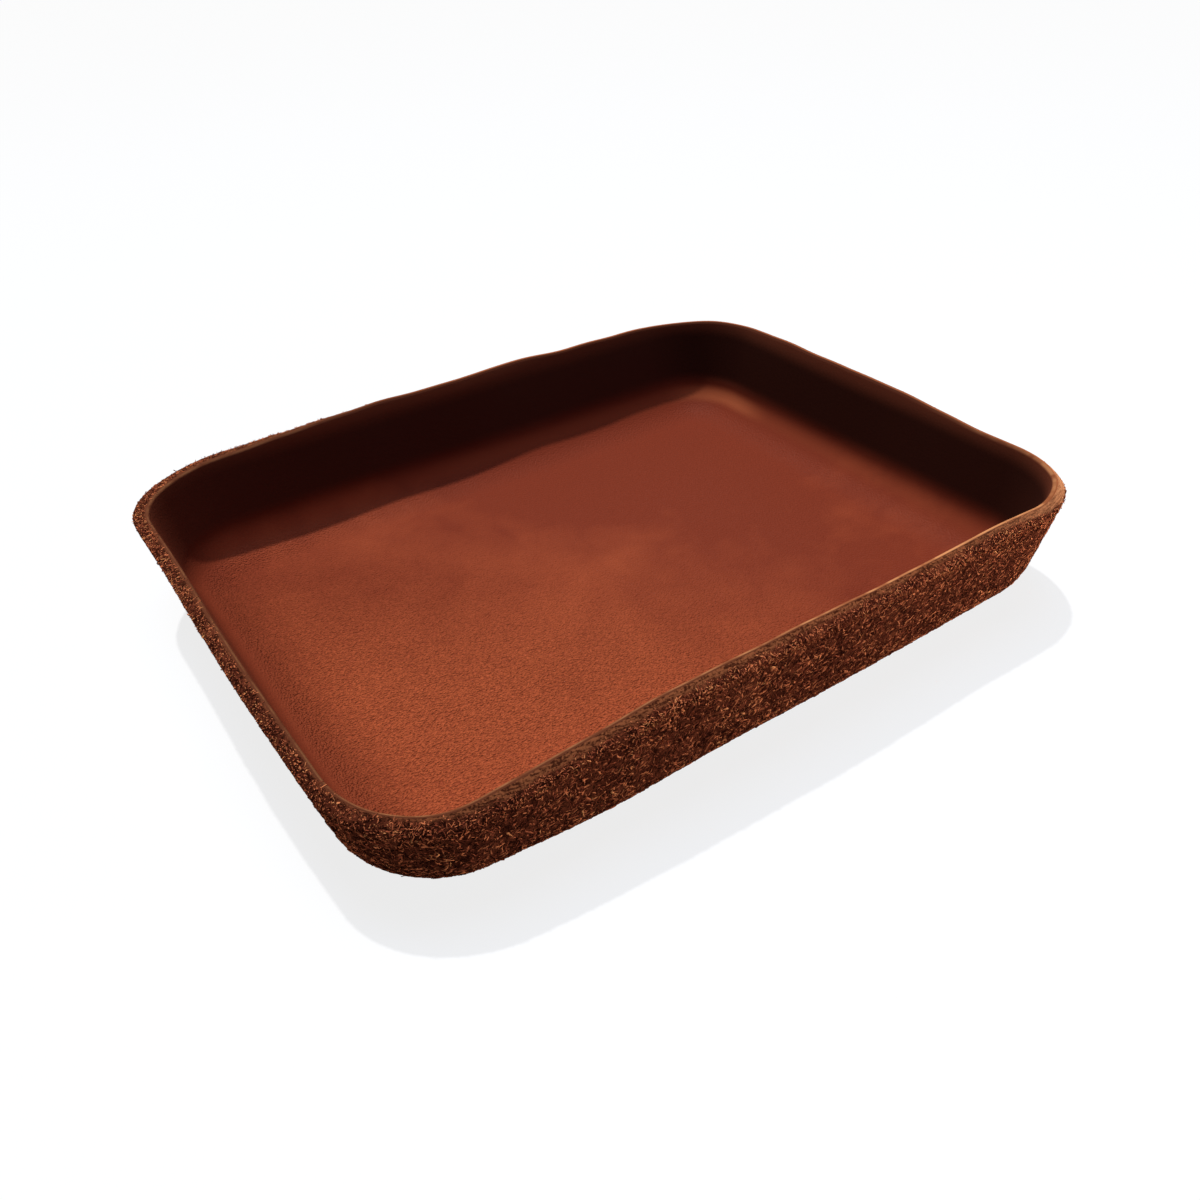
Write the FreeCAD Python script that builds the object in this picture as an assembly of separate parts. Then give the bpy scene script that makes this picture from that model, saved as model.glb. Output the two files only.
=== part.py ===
# Valet tray: a shallow rectangular tray, wet-moulded from two plies of leather.
# The outer shell is thick hide with its raw, fibrous flesh side facing out.
# The inner lining is thin dyed leather with its smooth grain side facing up.
# The plies are bonded face to face all over and trimmed together along the rim.
# Frame: millimetres, +Z up, X along the tray, Y towards its back, origin under the middle of the floor.

import FreeCAD
import Part
import math
import os

# The moulded form, on its outside face. Length, width and corner radius are those of the sharp rim edge,
# before it is bevelled.
RIM_LENGTH = 230.0
RIM_WIDTH = 179.0
RIM_HEIGHT = 38.0
RIM_CORNER_RADIUS = 30.5
BASE_BEND_RADIUS = 19.0
WALL_LEAN_DEG = 13.3

# Thickness of each ply
SHELL_THICKNESS = 3.0
LINING_THICKNESS = 1.2

# The hand-cut rim: how far the middle of each rounded corner falls below the middles of the sides,
# and how far the bevel along the shell's outside edge reaches on the rim and on the wall
CORNER_DIP = 2.0
FRONT_LEFT_CORNER_DIP = 8.0
RIM_BEVEL = 1.6

# How far the mould and the trimming cut run past the finished leather
OVERRUN = 5.0

UP = FreeCAD.Vector(0, 0, 1)
QUARTER_TURN_DEG = 90
WALL_LEAN = math.radians(WALL_LEAN_DEG)
CORNER_SIGNS = [(1, 1), (-1, 1), (-1, -1), (1, -1)]


def section(inset):
    """The form's section in the XZ plane, from a corner's axis at X = 0 out to the wall and up past the rim.

    It is bounded by the face that lies inset inside the tray's outside face.
    """
    top = RIM_HEIGHT + OVERRUN
    wall_inset = inset / math.cos(WALL_LEAN)
    foot = RIM_CORNER_RADIUS - (RIM_HEIGHT - inset) * math.tan(WALL_LEAN) - wall_inset
    head = RIM_CORNER_RADIUS + OVERRUN * math.tan(WALL_LEAN) - wall_inset
    bend = BASE_BEND_RADIUS - inset
    setback = bend * math.tan((math.pi / 2 - WALL_LEAN) / 2)
    bend_centre = FreeCAD.Vector(foot - setback, 0, inset + bend)
    bend_turns = (-math.pi / 2, -(math.pi / 2 + WALL_LEAN) / 2, -WALL_LEAN)
    bend_spokes = [FreeCAD.Vector(math.cos(turn), 0, math.sin(turn)) for turn in bend_turns]
    bend_points = [bend_centre + spoke * bend for spoke in bend_spokes]
    floor_start = FreeCAD.Vector(0, 0, inset)
    wall_end = FreeCAD.Vector(head, 0, top)
    axis_end = FreeCAD.Vector(0, 0, top)
    edges = [
        Part.LineSegment(floor_start, bend_points[0]).toShape(),
        Part.Arc(*bend_points).toShape(),
        Part.LineSegment(bend_points[-1], wall_end).toShape(),
        Part.LineSegment(wall_end, axis_end).toShape(),
        Part.LineSegment(axis_end, floor_start).toShape(),
    ]
    return Part.Face(Part.Wire(edges))


def filled_form(inset):
    """The solid inside the face that lies inset inside the outside face, run up past the rim."""
    half_run = RIM_LENGTH / 2 - RIM_CORNER_RADIUS
    half_span = RIM_WIDTH / 2 - RIM_CORNER_RADIUS
    axes = [FreeCAD.Vector(sign_x * half_run, sign_y * half_span, 0) for sign_x, sign_y in CORNER_SIGNS]
    pieces = []
    for quarter, (axis, next_axis) in enumerate(zip(axes, axes[1:] + axes[:1])):
        profile = section(inset)
        profile.rotate(FreeCAD.Vector(), UP, quarter * QUARTER_TURN_DEG)
        profile.translate(axis)
        pieces.append(profile.revolve(axis, UP, QUARTER_TURN_DEG))
        profile.rotate(axis, UP, QUARTER_TURN_DEG)
        pieces.append(profile.extrude(next_axis - axis))
    core_corner = FreeCAD.Vector(-half_run, -half_span, inset)
    core = Part.makeBox(2 * half_run, 2 * half_span, RIM_HEIGHT + OVERRUN - inset, core_corner)
    return core.multiFuse(pieces).removeSplitter()


def above_rim():
    """All that the rim cut takes away: it is level at the middles of the sides and falls to each corner."""
    half_length = RIM_LENGTH / 2 + OVERRUN
    half_width = RIM_WIDTH / 2 + OVERRUN
    # The fall grows with the square of the distance along and across, so the cut's own corners lie lowest
    corner_relief = RIM_CORNER_RADIUS * (1 - math.cos(math.pi / 4))
    along_share = (RIM_LENGTH / 2 - corner_relief) / half_length
    across_share = (RIM_WIDTH / 2 - corner_relief) / half_width
    fall_share = (along_share * across_share) ** 2
    dips = {signs: CORNER_DIP for signs in CORNER_SIGNS}
    dips[(-1, -1)] = FRONT_LEFT_CORNER_DIP
    pole_shares = (-1, -0.5, 0.5, 1)
    poles = []
    for x_share in pole_shares:
        row = []
        for y_share in pole_shares:
            fall = dips.get((x_share, y_share), 0) / fall_share
            row.append(FreeCAD.Vector(x_share * half_length, y_share * half_width, RIM_HEIGHT - fall))
        poles.append(row)
    knots = (0, 0.5, 1)
    multiplicities = (3, 1, 3)
    cut = Part.BSplineSurface()
    cut.buildFromPolesMultsKnots(poles, multiplicities, multiplicities, knots, knots, False, False, 2, 2)
    return cut.toShape().extrude(UP * RIM_HEIGHT)


def ply(outside_inset, thickness):
    """One moulded and trimmed ply, whose outside face lies outside_inset inside the tray's own."""
    moulded = filled_form(outside_inset).cut(filled_form(outside_inset + thickness))
    return moulded.cut(above_rim()).Solids[0]


def outer_shell():
    """Thick hide, flesh side out, with the outside edge of its cut rim bevelled."""
    hide = ply(0, SHELL_THICKNESS)
    rim = max(hide.Faces, key=lambda face: face.CenterOfMass.z)
    return hide.makeChamfer(RIM_BEVEL, rim.OuterWire.Edges).Solids[0]


def inner_lining():
    """Thin dyed leather, grain side up, bonded to the whole inside of the shell."""
    return ply(SHELL_THICKNESS, LINING_THICKNESS)


os.makedirs("parts", exist_ok=True)
outer_shell().exportStep("parts/outer_shell.step")
inner_lining().exportStep("parts/inner_lining.step")
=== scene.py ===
import math

import bmesh
import bpy
import numpy as np
from mathutils import Matrix, Vector, noise


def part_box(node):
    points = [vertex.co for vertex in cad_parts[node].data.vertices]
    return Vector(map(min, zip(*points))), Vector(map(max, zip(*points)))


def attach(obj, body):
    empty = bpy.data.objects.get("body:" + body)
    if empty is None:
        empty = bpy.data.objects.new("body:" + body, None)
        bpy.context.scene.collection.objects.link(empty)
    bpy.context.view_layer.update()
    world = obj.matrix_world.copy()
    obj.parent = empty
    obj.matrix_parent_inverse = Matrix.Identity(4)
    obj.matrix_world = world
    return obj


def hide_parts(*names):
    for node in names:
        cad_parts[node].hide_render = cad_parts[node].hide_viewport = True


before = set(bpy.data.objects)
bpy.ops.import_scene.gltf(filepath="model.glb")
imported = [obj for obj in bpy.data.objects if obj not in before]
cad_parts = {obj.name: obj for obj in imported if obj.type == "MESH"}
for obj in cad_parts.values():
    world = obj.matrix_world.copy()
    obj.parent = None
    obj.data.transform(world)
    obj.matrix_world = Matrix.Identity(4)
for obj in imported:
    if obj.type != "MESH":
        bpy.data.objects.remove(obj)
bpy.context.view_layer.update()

# Outer shell: one thick piece of vegetable-tanned hide, pressed wet over a block with its rough
# flesh side out and left to dry there. Its rim is cut by hand afterwards, so it runs a little up
# and down, and the outer edge of the cut is pared away.

rim_length = 0.230
rim_width = 0.179
rim_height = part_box("outer_shell")[1].z
rim_corner = 0.0305
wall_lean = math.radians(13.3)
base_bend = 0.019
shell_inner_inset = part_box("inner_lining")[0].z
corner_run = rim_length / 2 - rim_corner
corner_span = rim_width / 2 - rim_corner
bend_start = rim_corner - (rim_height - base_bend) * math.tan(wall_lean)
bend_start -= base_bend / math.cos(wall_lean)

# Stations go round the tray anticlockwise, seen from above, from where its right side meets the
# back right corner. Each belongs to a point of the rectangle of corner axes and faces outwards.
station_spacing = 0.0009
length_steps = round(2 * corner_run / station_spacing)
width_steps = round(2 * corner_span / station_spacing)
corner_steps = round(rim_corner * math.pi / 2 / station_spacing)
corner_axes = np.array([(1, 1), (-1, 1), (-1, -1), (1, -1)]) * (corner_run, corner_span)

axis_parts = []
heading_parts = []
run_starts = []
for quarter in range(4):
    here = corner_axes[quarter]
    ahead = corner_axes[(quarter + 1) % 4]
    steps = width_steps if quarter % 2 else length_steps
    run_share = np.concatenate([np.zeros(corner_steps), np.arange(steps) / steps])
    turn_share = np.concatenate([np.arange(corner_steps) / corner_steps, np.ones(steps)])
    run_starts.append(sum(len(part) for part in axis_parts) + corner_steps)
    axis_parts.append(here + (ahead - here) * run_share[:, None])
    heading_parts.append((quarter + turn_share) * math.pi / 2)
axes = np.concatenate(axis_parts)
headings = np.concatenate(heading_parts)
outward = np.column_stack([np.cos(headings), np.sin(headings)])
station_count = len(axes)

rim_line = axes + outward * rim_corner
rim_ahead = np.roll(rim_line, -1, axis=0) - rim_line
rim_steps = np.linalg.norm(rim_ahead, axis=1)
round_share = np.concatenate([[0], np.cumsum(rim_steps)[:-1]]) / rim_steps.sum()
round_radius = rim_steps.sum() / (2 * math.pi)
round_x = round_radius * np.cos(2 * math.pi * round_share)
round_y = round_radius * np.sin(2 * math.pi * round_share)

floor_columns = np.rint((axes[:, 0] / corner_run + 1) / 2 * length_steps).astype(int)
floor_rows = np.rint((axes[:, 1] / corner_span + 1) / 2 * width_steps).astype(int)
floor_foot = floor_rows * (length_steps + 1) + floor_columns
floor_x, floor_y = np.meshgrid(
    np.linspace(-corner_run, corner_run, length_steps + 1),
    np.linspace(-corner_span, corner_span, width_steps + 1),
)

wave_fade = 0.7


def wander(slowest, fastest, seed):
    """A gentle wave that closes on itself round the tray, between -1 and 1."""
    draw = np.random.default_rng(seed)
    wave = np.zeros(station_count)
    for turns in range(slowest, fastest + 1):
        phase = draw.uniform(0, 2 * math.pi)
        size = draw.uniform(0.5, 1.0) / turns**wave_fade
        wave += size * np.cos(2 * math.pi * turns * round_share + phase)
    return wave / np.abs(wave).max()


def nearness(place, spread):
    """How near each station is to a place on the rim: 1 there, fading away over the spread."""
    away = np.linalg.norm(rim_line - place, axis=1)
    return np.exp(-((away / spread) ** 2))


def ramp(values, begin, length):
    """0 up to the value begin, then rising to 1 over the length."""
    return np.clip((values - begin) / length, 0, 1)


def soft_step(distance, softness):
    """From 0 to 1 where a distance passes 0, over the softness."""
    return np.clip(distance / softness + 0.5, 0, 1)


# The cut rim dips at its corners, most at the front left one, and wavers with the knife.
corner_dip = 0.002
front_left_dip = 0.008
rim_waver = 0.00045
rim_waves = (5, 44)
wall_sway = 0.0006
wall_waves = (3, 16)
corner_point = np.array([corner_run, corner_span]) + rim_corner * math.sqrt(0.5)
rim_wander = rim_waver * wander(*rim_waves, seed=4)
wall_wander = wall_sway * wander(*wall_waves, seed=9)

# Moulding by hand leaves places that are off the regular form: each has its place on the rim,
# how far it spreads, how much the rim stands higher there, and how far rim and foot stand out.
hand_places = (
    ((0.010, -0.0895), 0.065, 0.0, 0.0, 0.0018),
    ((-0.055, -0.0895), 0.026, 0.0, 0.0, 0.0019),
    ((0.070, -0.0895), 0.030, 0.0008, 0.0, 0.0),
    ((0.106, -0.0806), 0.022, 0.0015, -0.0003, -0.0003),
    ((0.115, -0.045), 0.022, -0.0004, -0.0002, 0.0),
    ((0.115, 0.030), 0.045, 0.0009, 0.0003, 0.0),
    ((0.040, 0.0895), 0.050, 0.0008, 0.0004, 0.0),
    ((-0.045, 0.0895), 0.060, 0.0007, 0.0006, 0.0020),
    ((-0.106, 0.0806), 0.030, -0.0004, -0.0005, 0.0),
    ((-0.115, -0.030), 0.036, 0.0, 0.0009, 0.0008),
    ((-0.106, -0.0806), 0.026, 0.0, 0.0, -0.0013),
)
foot_wander = np.zeros(station_count)
for hand_place, spread, lift, rim_out, foot_out in hand_places:
    share = nearness(hand_place, spread)
    rim_wander += lift * share
    wall_wander += rim_out * share
    foot_wander += foot_out * share


def wall_reach(height, inset):
    """How far a wall's face is from its corner axis, for the face `inset` inside the outside one."""
    return rim_corner - (rim_height - height) * math.tan(wall_lean) - inset / math.cos(wall_lean)


def rim_level(inset):
    """Height of the cut rim at each station, on the line `inset` inside the outside face."""
    edge = axes + outward * np.reshape(wall_reach(rim_height, inset), (-1, 1))
    dip = np.where((edge[:, 0] < 0) & (edge[:, 1] < 0), front_left_dip, corner_dip)
    return rim_height - dip * (edge.prod(axis=1) / corner_point.prod()) ** 2 + rim_wander


def ring(reach, height):
    """One ring of points round the tray, with the sway that the dried walls have."""
    height = np.broadcast_to(height, station_count)
    from_floor = np.clip(np.broadcast_to(reach, station_count) / bend_start, 0, 1) ** 2
    reach = reach + wall_wander * (height / rim_height) ** 2
    reach = reach + foot_wander * from_floor * (1 - np.clip(height / rim_height, 0, 1))
    return np.column_stack([axes + outward * np.reshape(reach, (-1, 1)), height])


def base_rings(inset, floor_steps, bend_steps):
    """Rings from the floor's middle rectangle out to the top of the bend."""
    bend = base_bend - inset
    rings = [ring(bend_start * step / floor_steps, inset) for step in range(1, floor_steps + 1)]
    for step in range(1, bend_steps + 1):
        turn = (math.pi / 2 - wall_lean) * step / bend_steps
        rings.append(ring(bend_start + bend * math.sin(turn), inset + bend - bend * math.cos(turn)))
    return rings


def wall_rings(inset, top, steps):
    """Rings up a wall, from just above its bend to the height `top` at each station."""
    bottom = base_bend - (base_bend - inset) * math.sin(wall_lean)
    heights = [bottom + (top - bottom) * step / steps for step in range(1, steps + 1)]
    return [ring(wall_reach(height, inset), height) for height in heights]


sharp_edge = math.radians(55)


def closed_ply(name, floor_height, rings):
    """A closed mesh: a grid for the flat floor, bands between rings, and one face behind."""
    floor = np.column_stack([floor_x.ravel(), floor_y.ravel(), np.full(floor_x.size, floor_height)])
    loops = [floor_foot]
    for number in range(len(rings)):
        loops.append(len(floor) + number * station_count + np.arange(station_count))
    faces = []
    for row in range(width_steps):
        for column in range(length_steps):
            near = row * (length_steps + 1) + column
            far = near + length_steps + 1
            faces.append((near, near + 1, far + 1, far))
    for lower, upper in zip(loops, loops[1:]):
        for a, b, c, d in zip(lower, np.roll(lower, -1), np.roll(upper, -1), upper):
            faces.append((a, b, c, d) if a != b else (a, c, d))
    faces.append(tuple(loops[-1]))
    mesh = bpy.data.meshes.new(name)
    mesh.from_pydata(np.vstack([floor, *rings]).tolist(), [], faces)
    form = bmesh.new()
    form.from_mesh(mesh)
    bmesh.ops.recalc_face_normals(form, faces=form.faces)
    form.to_mesh(mesh)
    form.free()
    mesh.shade_smooth()
    mesh.set_sharp_from_angle(angle=sharp_edge)
    return mesh


def mark(mesh, name, floor_value, ring_values):
    """Store a number at every point: one for the floor, then one for each ring."""
    floor_part = np.full(floor_x.size, floor_value)
    ring_part = [np.broadcast_to(value, station_count) for value in ring_values]
    layer = mesh.attributes.new(name, "FLOAT", "POINT")
    layer.data.foreach_set("value", np.concatenate([floor_part, *ring_part]).astype(np.float32))


def mark_round(mesh, rings):
    """Store how far round and up the section each point is, with no seam in the round."""
    layer = mesh.attributes.new("round", "FLOAT_VECTOR", "POINT")
    rows = [np.zeros((floor_x.size, 3))]
    for points in rings:
        rows.append(np.column_stack([round_x, round_y, points[:, 2]]))
    layer.data.foreach_set("vector", np.concatenate(rows).astype(np.float32).ravel())


def relief(points, scales, seed):
    """Rough relief at each point, between about -1 and 1, from noise of the given scales."""
    shift = Vector((seed, -seed, seed / 2))
    total = np.zeros(len(points))
    for share, scale in scales:
        total += share * np.array([noise.noise(Vector(point) * scale + shift) for point in points])
    return total


def points_and_normals(mesh):
    points = np.array([vertex.co for vertex in mesh.vertices])
    normals = np.array([vertex.normal for vertex in mesh.vertices])
    return points, normals


# The rim's top falls away outwards, slowly at first, to the pared edge; at the back left corner
# the knife left it nearly level.
rim_fall_inside = 0.00010
rim_fall_outside = 0.0023
rim_fall_power = 1.3
level_share = 0.85
level_leftwards = (0.02, 0.06)
level_backwards = (0.0, 0.05)
level_corner = ramp(-rim_line[:, 0], *level_leftwards) * ramp(rim_line[:, 1], *level_backwards)
rim_fall = rim_fall_outside * (1 - level_share * level_corner)

# On the left side the lining's edge is pared thinner, and the shell reaches further in.
lining_thickness = 0.0012
left_paring = 0.3
left_side = (0.080, 0.025)
leftness = ramp(-rim_line[:, 0], *left_side)
seam_inset = shell_inner_inset + lining_thickness * left_paring * leftness

rim_band_steps = 9
shell_floor_steps, shell_bend_steps, shell_wall_steps = 6, 22, 24
wall_top_gap = 0.0004
band_shares = np.linspace(1, 0, rim_band_steps)
outer_rings = base_rings(0, shell_floor_steps, shell_bend_steps)
outer_rings += wall_rings(0, rim_level(0) - rim_fall - wall_top_gap, shell_wall_steps)
band_rings = []
for share in band_shares:
    inset = seam_inset * (1 - share)
    level = rim_level(inset) - rim_fall_inside
    level = level - (rim_fall - rim_fall_inside) * share**rim_fall_power
    band_rings.append(ring(wall_reach(level, inset), level))

# Out of sight, the shell and the lining meet on one face.
hidden_floor_steps, hidden_bend_steps, hidden_wall_steps = 1, 6, 4
hidden_gap = 0.0012
hidden_top = rim_level(shell_inner_inset) - hidden_gap
hidden_rings = wall_rings(shell_inner_inset, hidden_top, hidden_wall_steps)[::-1]
hidden_rings += base_rings(shell_inner_inset, hidden_floor_steps, hidden_bend_steps)[::-1]
shell_rings = outer_rings + band_rings + hidden_rings
shell_mesh = closed_ply("outer_shell_hide", 0.0, shell_rings)
mark_round(shell_mesh, shell_rings)

# At the front right corner the knife left the rim's top smooth and pale, on the left side it left
# all of it rough, and elsewhere the smooth part of the cut ends in a ragged line.
smooth_place = (0.108, -0.070)
smooth_spread = 0.028
smooth_gain = 0.85
cut_share = 0.45
cut_drift = 1.6
cut_ragged = 0.12
cut_waves = (40, 150)
cut_share_left = 0.05
cut_softness = 0.25
smooth_corner = nearness(smooth_place, smooth_spread)
frontness = np.clip(-outward[:, 1], 0, 1)
cut_edge = cut_share - cut_drift * frontness * rim_line[:, 0]
cut_edge = cut_edge + cut_ragged * wander(*cut_waves, seed=12)
cut_edge = (cut_edge + smooth_gain * smooth_corner) * (1 - leftness) + cut_share_left * leftness
cut_marks = [0.0] * len(outer_rings)
cut_marks += [soft_step(cut_edge - share, cut_softness) for share in band_shares]
cut_marks += [1.0] * len(hidden_rings)
mark(shell_mesh, "cut", 0.0, cut_marks)
mark(shell_mesh, "smooth", 0.0, [smooth_corner] * len(shell_rings))

# The flesh side is drawn into clumps and hollows; underneath, the table has pressed it flat.
clump_depth = 0.00022
clump_scales = ((0.7, 430.0), (0.5, 900.0))
nick_depth = 0.00010
nick_scales = ((0.6, 380.0), (0.6, 800.0))
outer_count = floor_x.size + station_count * len(outer_rings)
band_count = station_count * len(band_rings)
shell_points, shell_normals = points_and_normals(shell_mesh)
clumps = relief(shell_points[:outer_count], clump_scales, seed=3)
clumps = np.where(shell_points[:outer_count, 2] < clump_depth, -np.abs(clumps), clumps)
shell_points[:outer_count] += shell_normals[:outer_count] * (clump_depth * clumps)[:, None]
cut_range = slice(outer_count, outer_count + band_count)
nicks = relief(shell_points[cut_range], nick_scales, seed=7)
nicks *= np.repeat(band_shares, station_count)
shell_points[cut_range] += shell_normals[cut_range] * (nick_depth * nicks)[:, None]
shell_mesh.vertices.foreach_set("co", shell_points.ravel())
shell_mesh.update()


class Wire:
    """A socket of a node tree. Arithmetic on it adds Math nodes; make adds any other node."""

    def __init__(self, tree, socket=None):
        self.tree = tree
        self.socket = socket

    def make(self, kind, settings=None, sockets=None, out=None):
        node = self.tree.nodes.new(kind)
        for name, value in (settings or {}).items():
            if name == "stops":
                ramp_stops = node.color_ramp.elements
                while len(ramp_stops) < len(value):
                    ramp_stops.new(1.0)
                for stop, (place, colour) in zip(ramp_stops, value):
                    stop.position = place
                    stop.color = (*colour, 1.0)
            else:
                setattr(node, name, value)
        for key, value in (sockets or {}).items():
            if isinstance(key, int):
                target = node.inputs[key]
            else:
                target = next(s for s in node.inputs if s.enabled and s.name == key)
            if isinstance(value, Wire):
                self.tree.links.new(value.socket, target)
            elif target.type == "RGBA":
                target.default_value = (*value, 1.0)
            else:
                target.default_value = value
        shown = [socket for socket in node.outputs if socket.enabled]
        if out:
            shown = [socket for socket in shown if socket.name == out]
        return Wire(self.tree, shown[0] if shown else None)

    def also(self, out):
        """Another output of the node that this socket belongs to."""
        return Wire(self.tree, self.socket.node.outputs[out])

    def marked(self, name, out="Fac"):
        """What is stored on the mesh under a name."""
        return self.make("ShaderNodeAttribute", {"attribute_name": name}, out=out)

    def vectors(self, operation, other):
        return self.make("ShaderNodeVectorMath", {"operation": operation}, {0: self, 1: other})

    def measured(self, operation, other):
        """A number from two vectors, such as their distance."""
        settings = {"operation": operation}
        return self.make("ShaderNodeVectorMath", settings, {0: self, 1: other}, out="Value")

    def scaled(self, size):
        settings = {"operation": "SCALE"}
        return self.make("ShaderNodeVectorMath", settings, {"Vector": self, "Scale": size})

    def maths(self, operation, first, second):
        return self.make("ShaderNodeMath", {"operation": operation}, {0: first, 1: second})

    def __add__(self, other):
        return self.maths("ADD", self, other)

    def __radd__(self, other):
        return self.maths("ADD", other, self)

    def __sub__(self, other):
        return self.maths("SUBTRACT", self, other)

    def __rsub__(self, other):
        return self.maths("SUBTRACT", other, self)

    def __mul__(self, other):
        return self.maths("MULTIPLY", self, other)

    def __rmul__(self, other):
        return self.maths("MULTIPLY", other, self)

    def __truediv__(self, other):
        return self.maths("DIVIDE", self, other)

    def most(self, other):
        return self.maths("MAXIMUM", self, other)

    def between(self, low, high):
        """0 below low, 1 above high and smooth in between."""
        settings = {"interpolation_type": "SMOOTHSTEP"}
        return self.make(
            "ShaderNodeMapRange", settings, {"Value": self, "From Min": low, "From Max": high}
        )

    def ridge(self, middle, sharpness):
        """1 along the lines where this passes its middle, falling off on both sides."""
        off = self.make("ShaderNodeMath", {"operation": "ABSOLUTE"}, {0: self - middle})
        return 1 - off * sharpness

    def tint(self, low, high):
        """From the colour low, where this is 0, to the colour high, where it is 1."""
        return self.make(
            "ShaderNodeMix", {"data_type": "RGBA"}, {"Factor": self, "A": low, "B": high}
        )

    def noise(self, scale, detail=2.0, distortion=0.0, roughness=0.5, out=None):
        sockets = {
            "Vector": self,
            "Scale": scale,
            "Detail": detail,
            "Roughness": roughness,
            "Distortion": distortion,
        }
        return self.make("ShaderNodeTexNoise", None, sockets, out)


def new_material(name):
    """An empty material and the start of its wiring."""
    material = bpy.data.materials.new(name)
    material.use_nodes = True
    material.node_tree.nodes.clear()
    return material, Wire(material.node_tree)


def finish_material(start, shader):
    start.make("ShaderNodeOutputMaterial", None, {"Surface": shader})


def new_object(name, mesh):
    """An object at the origin, in the scene."""
    piece = bpy.data.objects.new(name, mesh)
    bpy.context.scene.collection.objects.link(piece)
    return piece


# Flesh side: brown fibres with painted shade in the dark gaps between them, pressed together
# and paler underneath. The knife leaves the rim's top smoother, with streaks along it.
gap_shade = (0.028, 0.0060, 0.0033)
fibre_brown = (0.080, 0.0165, 0.0080)
fibre_tan = (0.180, 0.0420, 0.0180)
cut_brown = (0.055, 0.0135, 0.0060)
cut_tan = (0.270, 0.0830, 0.0320)
pressed_brown = (0.170, 0.0380, 0.0175)
pressed_tan = (0.320, 0.0800, 0.0340)
smooth_brown = (0.290, 0.0980, 0.0400)
smooth_tan = (0.620, 0.2500, 0.1050)
fibre_scale = 340.0
fibre_bending = 1.4
fibre_ridge = (0.5, 10.0)
cross_fibre_scale = 480.0
cross_fibre_bending = 1.8
cross_fibre_ridge = (0.45, 9.0)
patch_scale = 260.0
patch_range = (0.35, 0.68)
pressed_height = (0.0003, 0.0030)
scrape_scale = 1800.0
streak_scale = 2400.0
streak_stretch = (0.12, 0.12, 1.6)
rough_cut_range = (0.43, 0.57)
smooth_cut_range = (0.30, 0.62)
fibre_relief = 0.00022
streak_relief = 0.00012
streak_strength = 0.7
hide_roughness = 0.95

hide_material, start = new_material("rough_hide")
place = start.make("ShaderNodeTexCoord", out="Object")
fibres = place.noise(fibre_scale, distortion=fibre_bending).ridge(*fibre_ridge)
cross_fibres = place.noise(cross_fibre_scale, distortion=cross_fibre_bending)
fibres = fibres.most(cross_fibres.ridge(*cross_fibre_ridge)).between(0.0, 1.0)
patch = place.noise(patch_scale, detail=4.0, roughness=0.6).between(*patch_range)
# The gaps between the fibres are darkened with painted shade.
raised_colour = fibres.tint(gap_shade, patch.tint(fibre_brown, fibre_tan))
pressed_colour = fibres.tint(fibre_brown, patch.tint(pressed_brown, pressed_tan))
hide_rise = start.make("ShaderNodeSeparateXYZ", None, {"Vector": place}, out="Z")
flesh_colour = hide_rise.between(*pressed_height).tint(pressed_colour, raised_colour)
cut = start.marked("cut")
smooth = start.marked("smooth")
streak_place = start.marked("round", out="Vector").vectors("MULTIPLY", streak_stretch)
streak = streak_place.noise(streak_scale, detail=4.0, roughness=0.65)
scrape = place.noise(scrape_scale, detail=3.0, roughness=0.6)
rough_cut = (scrape * 0.5 + streak * 0.5).between(*rough_cut_range).tint(cut_brown, cut_tan)
smooth_cut = streak.between(*smooth_cut_range).tint(smooth_brown, smooth_tan)
hide_colour = cut.tint(flesh_colour, smooth.tint(rough_cut, smooth_cut))
fibre_bump = start.make(
    "ShaderNodeBump",
    None,
    {"Strength": 1.0, "Distance": fibre_relief, "Height": fibres * (1 - cut)},
)
hide_bump = start.make(
    "ShaderNodeBump",
    None,
    {
        "Strength": streak_strength,
        "Distance": streak_relief,
        "Height": streak,
        "Normal": fibre_bump,
    },
)
hide_shader = start.make(
    "ShaderNodeBsdfPrincipled",
    None,
    {
        "Base Color": hide_colour,
        "Roughness": hide_roughness,
        "Specular IOR Level": 0.0,
        "Normal": hide_bump,
    },
)
finish_material(start, hide_shader)

shell = new_object("outer_shell_hide", shell_mesh)
shell_mesh.materials.append(hide_material)
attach(shell, "root")
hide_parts("outer_shell")

# Nap: the loose fibres of the flesh side, matted and curled over the shell's walls. They are the
# hide's own, raised where it was split. The knife leaves a paler fringe along the rim's outer edge.

nap_dark_and_shade = (0.040, 0.0080, 0.0045)
nap_brown = (0.345, 0.0760, 0.0340)
nap_tan = (0.850, 0.2480, 0.0950)
nap_gold = (0.820, 0.3200, 0.1150)
nap_stops = ((0.0, nap_dark_and_shade), (0.42, nap_brown), (0.88, nap_tan), (1.0, nap_gold))
strand_end_shade = (-0.25, 0.60)

nap_material, start = new_material("hide_nap")
strand_map = start.make("ShaderNodeUVMap", {"uv_map": "OFBake"})
strand_tone = start.make("ShaderNodeSeparateXYZ", None, {"Vector": strand_map})
strand_along = strand_tone.also("Y")
tone_colour = start.make("ShaderNodeValToRGB", {"stops": nap_stops}, {"Fac": strand_tone})
# Each strand fades to painted shade towards both ends, where it sinks into the mat.
strand_lit_middle = (strand_along * (1 - strand_along) * 4).between(*strand_end_shade)
nap_shader = start.make(
    "ShaderNodeBsdfPrincipled",
    None,
    {
        "Base Color": strand_lit_middle.tint(nap_dark_and_shade, tone_colour),
        "Roughness": hide_roughness,
        "Specular IOR Level": 0.0,
    },
)
finish_material(start, nap_shader)

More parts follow.
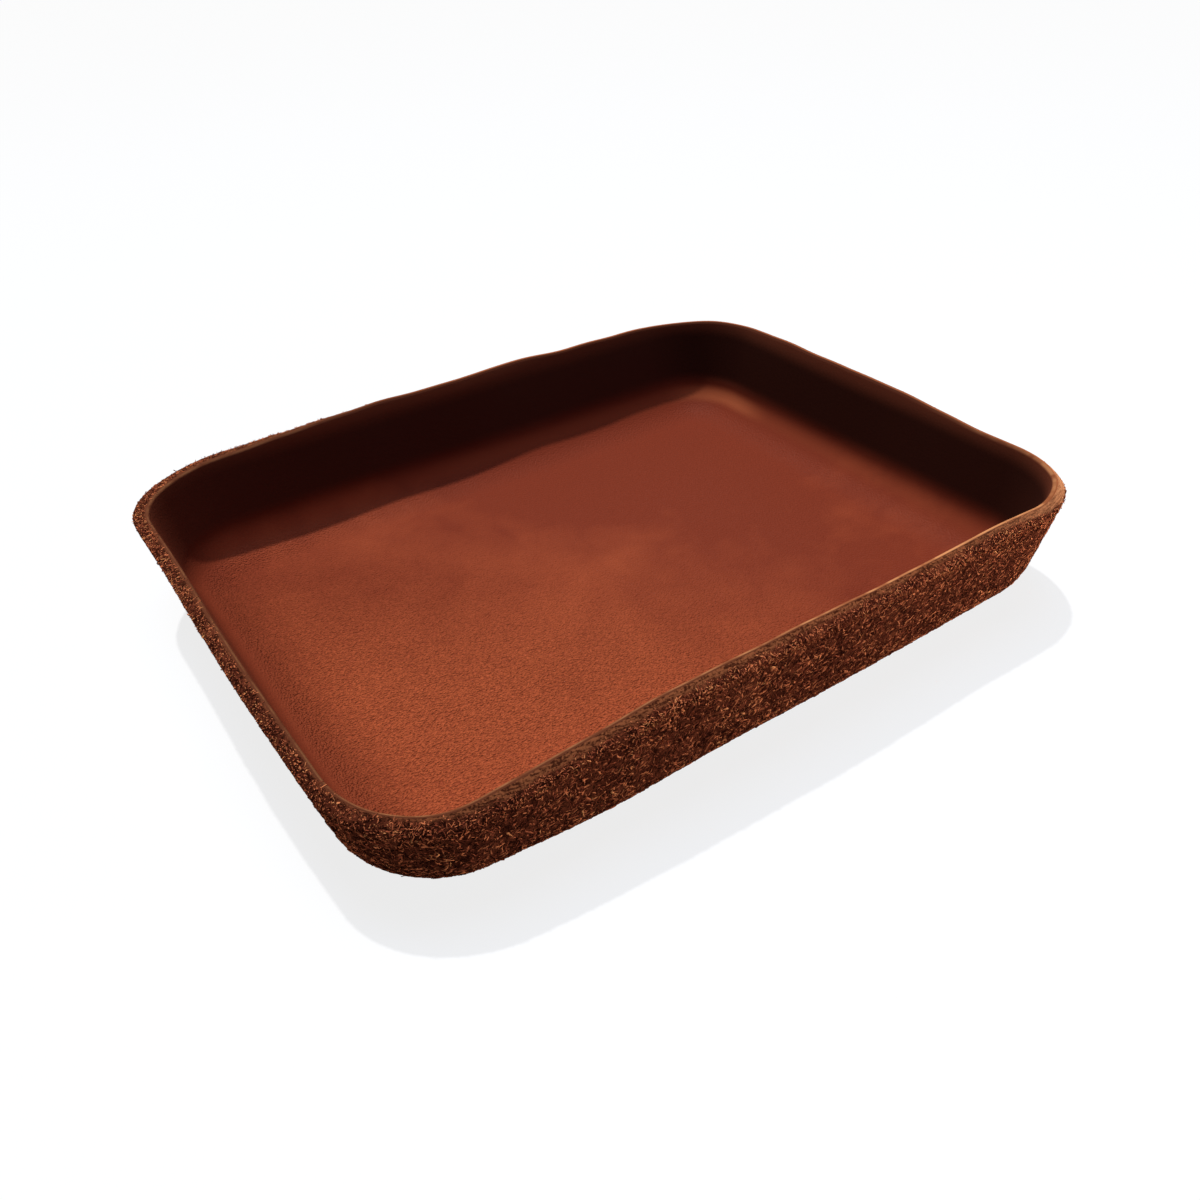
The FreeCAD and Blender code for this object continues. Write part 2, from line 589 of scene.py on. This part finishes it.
nap_tree = bpy.data.node_groups.new("hide_nap", "GeometryNodeTree")
nap_inputs = (
    ("Bed", "NodeSocketGeometry"),
    ("Points", "NodeSocketInt"),
    ("Strands per Area", "NodeSocketFloat"),
    ("Length", "NodeSocketFloat"),
    ("Thickness", "NodeSocketFloat"),
    ("Curl", "NodeSocketFloat"),
    ("Comb", "NodeSocketFloat"),
    ("Dive", "NodeSocketFloat"),
    ("Paleness", "NodeSocketFloat"),
    ("Seed", "NodeSocketInt"),
)
nap_sockets = {}
for name, kind in nap_inputs:
    socket = nap_tree.interface.new_socket(name, in_out="INPUT", socket_type=kind)
    nap_sockets[name] = socket.identifier
nap_tree.interface.new_socket("Nap", in_out="OUTPUT", socket_type="NodeSocketGeometry")

start = Wire(nap_tree)
group_input = start.make("NodeGroupInput")
given = {name: group_input.also(name) for name in nap_sockets}


def stored(geometry, name, value, domain="POINT", kind="FLOAT"):
    """The geometry with a value kept at each of its points, strands or corners."""
    settings = {"data_type": kind, "domain": domain}
    sockets = {"Geometry": geometry, "Name": name, "Value": value}
    return start.make("GeometryNodeStoreNamedAttribute", settings, sockets)


def kept(name, kind="FLOAT"):
    """The value kept under a name."""
    return start.make("GeometryNodeInputNamedAttribute", {"data_type": kind}, {"Name": name})


def drawn(low, high, salt, kind="FLOAT"):
    """A random value for each strand."""
    sockets = {"Min": low, "Max": high, "Seed": given["Seed"] + salt}
    return start.make("FunctionNodeRandomValue", {"data_type": kind}, sockets)


# One strand is a thin three-sided spindle along z, a unit long, that tapers to its tip.
strand_sides = 3
strand_taper = 0.75
line = start.make(
    "GeometryNodeCurvePrimitiveBezierSegment",
    None,
    {
        "Resolution": given["Points"] - 1,
        "Start": (0.0, 0.0, -0.15),
        "Start Handle": (0.0, 0.0, 0.2),
        "End Handle": (0.0, 0.0, 0.5),
        "End": (0.0, 0.0, 0.85),
    },
)
along = start.make("GeometryNodeSplineParameter")
strand = start.make(
    "GeometryNodeSetCurveRadius", None, {"Curve": line, "Radius": 1.0 - along * along * strand_taper}
)
girth = start.make(
    "GeometryNodeCurvePrimitiveCircle", None, {"Resolution": strand_sides, "Radius": 1.0}
)
strand = start.make(
    "GeometryNodeCurveToMesh", None, {"Curve": strand, "Profile Curve": girth, "Fill Caps": True}
)
index = start.make("GeometryNodeInputIndex")
strand_row = start.make("ShaderNodeMath", {"operation": "FLOOR"}, {0: index / strand_sides})
strand = stored(strand, "along", strand_row / (given["Points"] - 1))
strand = stored(strand, "about", start.maths("MODULO", index, strand_sides) / strand_sides)

# Strands lie flat over one another in all directions, a little combed.
girth_range = (0.6, 1.25)
length_range = (0.5, 1.2)
tone_range = (0.0, 0.8)
blotch_scale = 120.0
blotch_range = (0.3, 0.7)
blotch_share = 0.25
points = start.make(
    "GeometryNodeDistributePointsOnFaces",
    None,
    {
        "Mesh": given["Bed"],
        "Density": given["Strands per Area"] * kept("growth"),
        "Seed": given["Seed"],
    },
)
hide_normal = points.also("Normal")
aim = drawn((-1.0, -1.0, -1.0), (1.0, 1.0, 1.0), salt=1, kind="FLOAT_VECTOR")
aim = aim.vectors("SUBTRACT", hide_normal.scaled(aim.measured("DOT_PRODUCT", hide_normal)))
aim = start.make("ShaderNodeVectorMath", {"operation": "NORMALIZE"}, {0: aim})
aim = aim.vectors("ADD", kept("comb", "FLOAT_VECTOR").scaled(given["Comb"]))
facing = start.make("FunctionNodeAlignRotationToVector", {"axis": "Z"}, {"Vector": aim})
girth_scale = given["Thickness"] * drawn(*girth_range, salt=3)
length_scale = given["Length"] * drawn(*length_range, salt=4)
size = start.make(
    "ShaderNodeCombineXYZ", None, {"X": girth_scale, "Y": girth_scale, "Z": length_scale}
)
strands = start.make(
    "GeometryNodeInstanceOnPoints",
    None,
    {"Points": points, "Instance": strand, "Rotation": facing, "Scale": size},
)
spot = start.make("GeometryNodeInputPosition")
blotch = spot.noise(blotch_scale).between(*blotch_range)
tone = drawn(*tone_range, salt=5) + blotch * blotch_share + given["Paleness"]
strands = stored(strands, "tone", tone, domain="INSTANCE")
strands = stored(strands, "hide_normal", hide_normal, domain="INSTANCE", kind="FLOAT_VECTOR")
strands = start.make("GeometryNodeRealizeInstances", None, {"Geometry": strands})

# Each strand curls in its own way, mostly within the mat, and its tip dives back into it.
curl_scale = 580.0
curl_shift = (0.020, 0.013)
curl_within = 0.94
noise_middle = (0.5, 0.5, 0.5)
tone_share = 0.92
along_share = 0.98
along_margin = 0.01
strand_shift = start.make(
    "ShaderNodeCombineXYZ",
    None,
    {"X": kept("tone") * curl_shift[0], "Y": kept("tone") * curl_shift[1]},
)
curl = spot.vectors("ADD", strand_shift).noise(curl_scale, detail=1.0, out="Color")
curl = curl.vectors("SUBTRACT", noise_middle).scaled(given["Curl"] * 2.0)
hide_normal = kept("hide_normal", "FLOAT_VECTOR")
out_of_hide = curl.measured("DOT_PRODUCT", hide_normal)
curl = curl.vectors("SUBTRACT", hide_normal.scaled(out_of_hide * curl_within))
dive = kept("along") * kept("along") * given["Length"] * given["Dive"]
curl = curl.vectors("SUBTRACT", hide_normal.scaled(dive))
strands = start.make("GeometryNodeSetPosition", None, {"Geometry": strands, "Offset": curl})
strand_map = start.make(
    "ShaderNodeCombineXYZ",
    None,
    {
        "X": kept("tone") * tone_share + kept("about") * (1 - tone_share),
        "Y": kept("along") * along_share + along_margin,
    },
)
strands = stored(strands, "OFBake", strand_map, domain="CORNER", kind="FLOAT2")
for name in ("tone", "along", "about", "hide_normal"):
    strands = start.make("GeometryNodeRemoveAttribute", None, {"Geometry": strands, "Name": name})
strands = start.make(
    "GeometryNodeSetMaterial", None, {"Geometry": strands, "Material": nap_material}
)
start.make("NodeGroupOutput", None, {"Nap": strands})


def grow(name, rows, columns, growth, comb, sizes, seed):
    """Strands over the shell's points in the given rings and stations, as one piece."""
    numbers = floor_x.size + rows[:, None] * station_count + columns[None, :] % station_count
    width = len(columns)
    faces = []
    for row in range(len(rows) - 1):
        for near in range(row * width, row * width + width - 1):
            faces.append((near, near + 1, near + width + 1, near + width))
    bed_mesh = bpy.data.meshes.new(name + "_bed")
    bed_mesh.from_pydata(shell_points[numbers.ravel()].tolist(), [], faces)
    growth_layer = bed_mesh.attributes.new("growth", "FLOAT", "POINT")
    growth_layer.data.foreach_set("value", growth.astype(np.float32).ravel())
    comb_layer = bed_mesh.attributes.new("comb", "FLOAT_VECTOR", "POINT")
    comb_layer.data.foreach_set("vector", comb.astype(np.float32).ravel())
    bed = new_object(name + "_bed", bed_mesh)
    modifier = bed.modifiers.new("nap", "NODES")
    modifier.node_group = nap_tree
    modifier[nap_sockets["Seed"]] = seed
    for size_name, value in sizes.items():
        modifier[nap_sockets[size_name]] = value
    grown = bed.evaluated_get(bpy.context.evaluated_depsgraph_get())
    nap_mesh = bpy.data.meshes.new_from_object(grown)
    bed.modifiers.remove(modifier)
    bpy.data.objects.remove(bed)
    nap_mesh.name = name
    nap_mesh.shade_smooth()
    nap = new_object(name, nap_mesh)
    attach(nap, "root")


# Along the walls it is thinner at the foot, ends below the rim and is combed down there. At the
# front left corner it is combed round.
wall_nap = {
    "Points": 6,
    "Strands per Area": 1.20e6,
    "Length": 0.0025,
    "Thickness": 0.000155,
    "Curl": 0.0020,
    "Comb": 0.2,
    "Dive": 0.14,
    "Paleness": 0.0,
}
wall_nap_seed = 20
nap_first_row = shell_floor_steps + 2
foot_growth = np.array([0.15, 0.45, 0.75])
combed_place = (-0.100, -0.080)
combed_spread = 0.035
combed_gain = 3
rim_down = 12
rim_down_rows = 5
rim_down_over = 3
nap_rows = np.arange(nap_first_row, len(outer_rings) - 1)
along_wall = np.column_stack([rim_ahead / rim_steps[:, None], np.zeros(station_count)])
wall_drop = np.full(station_count, -math.cos(wall_lean))
down_wall = np.column_stack([-outward * math.sin(wall_lean), wall_drop])
nap_along = along_wall * (1 + combed_gain * nearness(combed_place, combed_spread))[:, None]
rim_downness = rim_down * ramp(np.arange(len(nap_rows)), len(nap_rows) - rim_down_rows, rim_down_over)
half_sides = (
    ("nap_back_right", 0, 0),
    ("nap_back_left", 0, 1),
    ("nap_left_back", 1, 0),
    ("nap_left_front", 1, 1),
    ("nap_front_left", 2, 0),
    ("nap_front_right", 2, 1),
    ("nap_right_front", 3, 0),
    ("nap_right_back", 3, 1),
)
for number, (name, side, half) in enumerate(half_sides):
    steps = width_steps if side % 2 else length_steps
    begin = run_starts[side] - corner_steps // 2
    middle = run_starts[side] + steps // 2
    end = run_starts[side] + steps + corner_steps - corner_steps // 2
    columns = np.arange(middle, end + 1) if half else np.arange(begin, middle + 1)
    comb = np.tile(nap_along[columns % station_count], (len(nap_rows), 1, 1))
    comb += rim_downness[:, None, None] * down_wall[columns % station_count]
    growth = np.ones((len(nap_rows), len(columns)))
    growth[: len(foot_growth)] = foot_growth[:, None]
    growth[-1] = 0.0
    grow(name, nap_rows, columns, growth, comb, wall_nap, wall_nap_seed + number)

# The fringe grows on the rough part of the cut. In front it leans outwards, and elsewhere inwards.
# On the left side, where the whole top of the rim is rough, its fibres are longer.
rim_fringe = {
    "Points": 5,
    "Strands per Area": 3.4e6,
    "Length": 0.0009,
    "Thickness": 0.00012,
    "Curl": 0.0008,
    "Comb": 0.6,
    "Dive": 0.20,
    "Paleness": 0.13,
}
left_fringe = dict(rim_fringe)
left_fringe.update({"Strands per Area": 2.4e6, "Length": 0.0011})
left_fringe.update({"Comb": 0.9, "Dive": 0.40, "Paleness": 0.20})
fringe_seed = 40
fringe_wall_rows = 3
fringe_softness = 0.35
band_slope = (0.8, -0.6)
fringe_lean = -1.4
fringe_lean_front = 2.2
fringe_lean_left = 0.5
fringe_rows = np.arange(len(outer_rings) - fringe_wall_rows, len(outer_rings) + rim_band_steps)
fringe_across = np.concatenate([np.ones(fringe_wall_rows), band_shares])
across_band = np.column_stack([outward * band_slope[0], np.full(station_count, band_slope[1])])
leaning = fringe_lean_front * frontness + fringe_lean_left * leftness + fringe_lean
fringe_comb = along_wall + leaning[:, None] * across_band
for number, name in enumerate(("fringe_back", "fringe_left", "fringe_front", "fringe_right")):
    begin = run_starts[number] - corner_steps // 2
    end = begin + corner_steps + (width_steps if number % 2 else length_steps)
    columns = np.arange(begin, end + 1)
    stations = columns % station_count
    growth = soft_step(fringe_across[:, None] - cut_edge[stations][None, :], fringe_softness)
    comb = np.tile(fringe_comb[stations], (len(fringe_rows), 1))
    fringe_sizes = left_fringe if name == "fringe_left" else rim_fringe
    grow(name, fringe_rows, columns, growth, comb, fringe_sizes, fringe_seed + number)

# Inner lining: the smooth grain side of the leather, dyed a warm reddish brown and waxed. It is
# moulded with the shell and cut level with it, so its raw edge shows as a pale line round the rim.

well_inset = shell_inner_inset + lining_thickness
lip_round = 0.00060
lip_round_power = 3
lip_below = lip_round * 1.6
lip_outer_fall = 0.00010
lip_steps = 8
lining_floor_steps, lining_bend_steps, lining_wall_steps = 6, 20, 22
well_rings = base_rings(well_inset, lining_floor_steps, lining_bend_steps)
well_rings += wall_rings(well_inset, rim_level(well_inset) - lip_below, lining_wall_steps)
lip_shares = np.linspace(0, 1, lip_steps)
lip_rings = []
for share in lip_shares:
    inset = well_inset - (well_inset - seam_inset) * share
    level = rim_level(inset) - lip_round * (1 - share) ** lip_round_power
    level = level - lip_outer_fall * share**2
    lip_rings.append(ring(wall_reach(level, inset), level))
lining_rings = well_rings + lip_rings + hidden_rings
lining_mesh = closed_ply("inner_lining_leather", well_inset, lining_rings)

# Painted light makes the lip brightest along the front, towards the right, and painted shade
# leaves it dull at the back and on the right.
lip_blend = 0.4
lip_front = 0.58
lip_front_drift = 4.5
lip_front_range = (0.32, 0.76)
lip_left = 0.18
lip_back_left = 0.13
lip_back_left_run = (0.03, 0.05)
lip_smooth_loss = 0.6
lip_smooth = 0.25
far_sideways = 0.8
far_run = (-0.06, 0.08)
lip_marks = [0.0] * len(well_rings) + [1.0] * (len(lip_rings) + len(hidden_rings))
lip_marks[len(well_rings)] = lip_blend
across_marks = [0.0] * len(well_rings) + list(lip_shares) + [1.0] * len(hidden_rings)
rise_marks = [points[:, 2] / rim_height for points in lining_rings]
# Painted light on the lip, strongest along the front towards the right.
bright = frontness * np.clip(lip_front + rim_line[:, 0] * lip_front_drift, *lip_front_range)
bright += lip_left * np.clip(-outward[:, 0], 0, 1)
back_left = ramp(-rim_line[:, 0], *lip_back_left_run)
bright += lip_back_left * np.clip(outward[:, 1], 0, 1) * back_left
bright = bright * (1 - lip_smooth_loss * smooth_corner) + lip_smooth * smooth_corner
# Painted light on the lip's outer edge at the back and on the right.
lip_edge_light = np.clip(outward[:, 1] + outward[:, 0] * far_sideways, 0, 1)
lip_edge_light *= ramp(rim_line[:, 0], *far_run)
lip_edge_light = np.maximum(lip_edge_light, smooth_corner)
mark(lining_mesh, "cut", 0.0, lip_marks)
mark(lining_mesh, "across", 0.0, across_marks)
mark(lining_mesh, "bright", 0.0, [np.clip(bright, 0, 1)] * len(lining_rings))
mark(lining_mesh, "far", 0.0, [lip_edge_light] * len(lining_rings))
mark(lining_mesh, "rise", well_inset / rim_height, rise_marks)
mark_round(lining_mesh, lining_rings)

# The floor dried with a slight swell.
floor_swell = 0.00025
swell_scales = ((0.8, 22.0), (0.5, 55.0))
well_count = floor_x.size + station_count * (lining_floor_steps + lining_bend_steps)
lining_points, lining_normals = points_and_normals(lining_mesh)
swell = relief(lining_points[:well_count], swell_scales, seed=5)
lining_points[:well_count] += lining_normals[:well_count] * (floor_swell * swell)[:, None]
lining_mesh.vertices.foreach_set("co", lining_points.ravel())
lining_mesh.update()

lining_orange = (0.555, 0.1145, 0.0405)
lining_red = (0.215, 0.0360, 0.0160)
lining_highlight = (0.480, 0.1250, 0.0480)
lining_left_shade = (0.120, 0.0200, 0.0095)
lining_fleck = (0.075, 0.014, 0.0075)
wall_brow_light = (0.155, 0.0430, 0.0210)
wall_light = (0.160, 0.0350, 0.0165)
wall_back_shade = (0.056, 0.0175, 0.0110)
wall_right_shade = (0.023, 0.0078, 0.0052)
lip_tan = (0.950, 0.385, 0.1450)
lip_brown = (0.430, 0.120, 0.0410)
lip_shade = (0.085, 0.022, 0.0105)
lip_edge_shade = (0.130, 0.036, 0.0155)

# The floor darkens towards the back right, with soft clouds, and its bend along the left wall is
# darkened with painted shade.
cloud_scale = 22.0
cloud_share = 0.55
mottle_scale = 70.0
mottle_share = 0.45
right_and_back = (1.0, 0.4, 0.0)
to_back_right = (1.0, 0.9, 0.0)
deeper_right = (-0.03, 0.06)
deeper_right_share = 0.45
deeper_back = (-0.02, 0.06)
deeper_back_share = 0.3
deeper_slant = (-0.10, 0.0)
deeper_slant_share = 0.5
left_bend_shade = (0.082, 0.106)
left_bend_shade_share = 0.75
lining_material, start = new_material("smooth_lining")
place = start.make("ShaderNodeTexCoord", out="Object")
cloud = place.noise(cloud_scale, detail=4.0)
mottle = place.noise(mottle_scale, detail=3.0, distortion=0.4)
rightwards = place.measured("DOT_PRODUCT", right_and_back)
slant = place.measured("DOT_PRODUCT", to_back_right)
sideways = start.make("ShaderNodeSeparateXYZ", None, {"Vector": place}, out="X")
backwards = sideways.also("Y")
depth = rightwards.between(*deeper_right) * deeper_right_share
depth = depth + backwards.between(*deeper_back) * deeper_back_share
depth = depth + slant.between(*deeper_slant) * deeper_slant_share
depth = depth + (cloud - 0.5) * cloud_share + (mottle - 0.5) * mottle_share
floor_tone_and_shade = depth.tint(lining_orange, lining_red)
# Painted shade on the bend along the left wall.
floor_tone_and_shade = ((0 - sideways).between(*left_bend_shade) * left_bend_shade_share).tint(floor_tone_and_shade, lining_left_shade)

# The grain is a fine pebble, drawn out along the tray and clearest at the front left, with pores.
warp_scale = 700.0
warp_reach = (0.0007, 0.0007, 0.0007)
pebble_stretch = (0.7, 1.0, 1.0)
pebble_scale = 2000.0
pebble_smoothness = 0.35
pebble_range = (0.35, 0.85)
pebble_share = 0.6
pore_scale = 520.0
pore_range = (0.03, 0.12)
pore_patch_scale = 240.0
pore_patch_range = (0.55, 0.75)
fleck_share = 0.45
grain_fade = (-0.08, 0.04)
grain_fade_share = 0.80
warp = place.noise(warp_scale, out="Color")
warped = warp.vectors("MULTIPLY", warp_reach).vectors("ADD", place)
pebble = start.make(
    "ShaderNodeTexVoronoi",
    {"feature": "SMOOTH_F1"},
    {
        "Vector": warped.vectors("MULTIPLY", pebble_stretch),
        "Scale": pebble_scale,
        "Smoothness": pebble_smoothness,
    },
    out="Distance",
)
pore = start.make(
    "ShaderNodeTexVoronoi", None, {"Vector": place, "Scale": pore_scale}, out="Distance"
)
pore_patch = place.noise(pore_patch_scale).between(*pore_patch_range)
fleck = (1 - pore.between(*pore_range)) * pore_patch
grain = 1 - slant.between(*grain_fade) * grain_fade_share
grained = (pebble.between(*pebble_range) * grain * pebble_share).tint(floor_tone_and_shade, lining_red)
flecked = (fleck * fleck_share).tint(grained, lining_fleck)

# A painted highlight lies along the bend, most at the back right corner. The walls are darker, with
# painted shade nearly black at the back and on the right, and painted light just under the rim.
highlight_foot = (0.20, 0.27)
highlight_top = (0.31, 0.39)
highlight_slant = (0.02, 0.08)
highlight_place = (0.1005, 0.062, 0.0115)
highlight_spread = (0.006, 0.024)
highlight_along = 0.12
highlight_there = 0.55
wall_shade_slant = (-0.10, 0.03)
wall_right_shade_start = (0.080, 0.100)
wall_foot = (0.26, 0.50)
wall_brow_light_band = (0.82, 0.99)
wall_cover = 0.95
rise = start.marked("rise")
# Painted highlight on the bend, strongest at the back right corner.
highlight_band = rise.between(*highlight_foot) * (1 - rise.between(*highlight_top))
highlight_band = highlight_band * slant.between(*highlight_slant)
from_highlight = place.measured("DISTANCE", highlight_place)
painted_highlight = highlight_band * (highlight_along + highlight_there * (1 - from_highlight.between(*highlight_spread)))
highlighted = painted_highlight.tint(flecked, lining_highlight)
# Painted shade darkens the walls at the back and on the right.
wall_tone_and_shade = slant.between(*wall_shade_slant).tint(wall_light, wall_back_shade)
wall_tone_and_shade = sideways.between(*wall_right_shade_start).tint(wall_tone_and_shade, wall_right_shade)
# Painted light warms the walls just under the rim.
walls_with_brow_light = rise.between(*wall_brow_light_band).tint(wall_tone_and_shade, wall_brow_light)
darkened = (rise.between(*wall_foot) * wall_cover).tint(highlighted, walls_with_brow_light)

# The lip is raw leather, streaked along the cut. Its outer edge is darker with painted shade, and
# at the back and on the right painted light lifts that edge.
lip_streak_scale = 160.0
lip_streak_range = (0.30, 0.66)
lip_spread = 0.55
lip_turn = (0.25, 0.55)
lip = start.marked("cut")
lip_across = start.marked("across")
lip_lit = start.marked("bright")
lip_edge_lit = start.marked("far")
lip_streak = start.marked("round", out="Vector").noise(lip_streak_scale, detail=4.0)
lip_raw = lip_streak.between(*lip_streak_range).tint(lip_brown, lip_tan)
# The lip's inner part: painted light where marked, painted shade elsewhere.
lip_top = lip_lit.tint(lip_shade, lip_raw)
lip_outer = lip_edge_lit.tint(lip_edge_shade, lip_brown)
lip_colour = (lip_across - lip_lit * lip_spread).between(*lip_turn).tint(lip_top, lip_outer)
lining_colour = lip.tint(darkened, lip_colour)

# The wax leaves a low sheen, and the grain is pulled nearly smooth where the leather bends up.
polish_roughness = 0.38
mottle_roughness = 0.12
lip_roughness = 0.3
lining_gloss = 0.035
gloss_tint = (1.0, 0.6, 0.45)
fine_grain_scale = 2600.0
fine_grain_share = 0.4
pulled_smooth = (0.11, 0.26)
pulled_smooth_share = 0.9
grain_relief = 0.00100
polish = polish_roughness + mottle * mottle_roughness + lip * lip_roughness
grain_height = (1 - pebble) + place.noise(fine_grain_scale) * fine_grain_share
grain_height = grain_height * grain * (1 - rise.between(*pulled_smooth) * pulled_smooth_share)
grain_bump = start.make(
    "ShaderNodeBump", None, {"Strength": 1.0, "Distance": grain_relief, "Height": grain_height}
)
lining_shader = start.make(
    "ShaderNodeBsdfPrincipled",
    None,
    {
        "Base Color": lining_colour,
        "Roughness": polish,
        "Specular IOR Level": lining_gloss,
        "Specular Tint": gloss_tint,
        "Normal": grain_bump,
    },
)
finish_material(start, lining_shader)

lining = new_object("inner_lining_leather", lining_mesh)
lining_mesh.materials.append(lining_material)
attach(lining, "root")
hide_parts("inner_lining")

# Studio: a pale table under a plain white surround, a key lamp high behind the tray, a soft lamp
# overhead and a weak fill at the front right. Seen directly or in a reflection, the surround is
# white, and so is the table but for a faint shadow.

white = (1.0, 1.0, 1.0)
table_half = 3.0
table_pale = (0.55, 0.54, 0.53)
table_glow = 0.82
surround_level = 0.015
key_direction = Vector((0.02, 0.33, 1.0))
key_level = 2.65
key_angle = math.radians(1.6)
overhead_place = (0.0, 0.0, 1.0)
overhead_size = 0.5
overhead_level = 2.6
overhead_colour = (0.8, 1.05, 1.5)
fill_place = Vector((0.34, -0.32, 0.022))
fill_size = 0.04
fill_level = 1.2


def seen(start):
    """1 for rays that come from the camera, a reflection or through glass, and 0 for others."""
    path = start.make("ShaderNodeLightPath", out="Is Camera Ray")
    return path.most(path.also("Is Glossy Ray")).most(path.also("Is Transmission Ray"))


table_corners = [
    (-table_half, -table_half, 0),
    (table_half, -table_half, 0),
    (table_half, table_half, 0),
    (-table_half, table_half, 0),
]
table_mesh = bpy.data.meshes.new("table")
table_mesh.from_pydata(table_corners, [], [(0, 1, 2, 3)])
table_material, start = new_material("table")
table_diffuse = start.make("ShaderNodeBsdfDiffuse", None, {"Color": table_pale})
table_white = start.make("ShaderNodeEmission", None, {"Color": white, "Strength": 1.0})
table_bright = start.make("ShaderNodeBsdfDiffuse", None, {"Color": white})
table_shown = start.make(
    "ShaderNodeMixShader", None, {0: table_glow, 1: table_bright, 2: table_white}
)
table_shader = start.make(
    "ShaderNodeMixShader", None, {0: seen(start), 1: table_diffuse, 2: table_shown}
)
finish_material(start, table_shader)
table = new_object("table", table_mesh)
table_mesh.materials.append(table_material)

world = bpy.data.worlds.new("surround")
world.use_nodes = True
world.node_tree.nodes.clear()
start = Wire(world.node_tree)
shown_level = surround_level + seen(start) * (1 - surround_level)
surround = start.make("ShaderNodeBackground", None, {"Color": white, "Strength": shown_level})
start.make("ShaderNodeOutputWorld", None, {"Surface": surround})
bpy.context.scene.world = world

key_lamp = bpy.data.lights.new("key", "SUN")
key_lamp.energy = key_level
key_lamp.angle = key_angle
key = new_object("key", key_lamp)
key.rotation_euler = key_direction.to_track_quat("Z", "Y").to_euler()

overhead_lamp = bpy.data.lights.new("overhead", "AREA")
overhead_lamp.energy = overhead_level
overhead_lamp.size = overhead_size
overhead_lamp.color = overhead_colour
overhead = new_object("overhead", overhead_lamp)
overhead.location = overhead_place
overhead.visible_camera = False

fill_lamp = bpy.data.lights.new("fill", "AREA")
fill_lamp.energy = fill_level
fill_lamp.size = fill_size
fill = new_object("fill", fill_lamp)
fill.location = fill_place
fill.visible_camera = False
fill.rotation_euler = fill_place.to_track_quat("Z", "Y").to_euler()

# Camera: placed by fitting the tray's rim and base lines to the photograph.
camera_place = (-0.14561, -0.22343, 0.18727)
camera_right = (0.82332, -0.56653, -0.03447)
camera_up = (0.35430, 0.46555, 0.81101)
camera_back = (-0.44341, -0.67994, 0.58402)
camera_sensor = 36.0
camera_lens = 31.654
camera_near = 0.01
camera_data = bpy.data.cameras.new("camera")
camera_data.sensor_width = camera_sensor
camera_data.lens = camera_lens
camera_data.clip_start = camera_near
camera = new_object("camera", camera_data)
turn = Matrix((camera_right, camera_up, camera_back)).transposed().to_4x4()
camera.matrix_world = Matrix.Translation(camera_place) @ turn
bpy.context.scene.camera = camera

bpy.context.scene.view_settings.view_transform = "Standard"
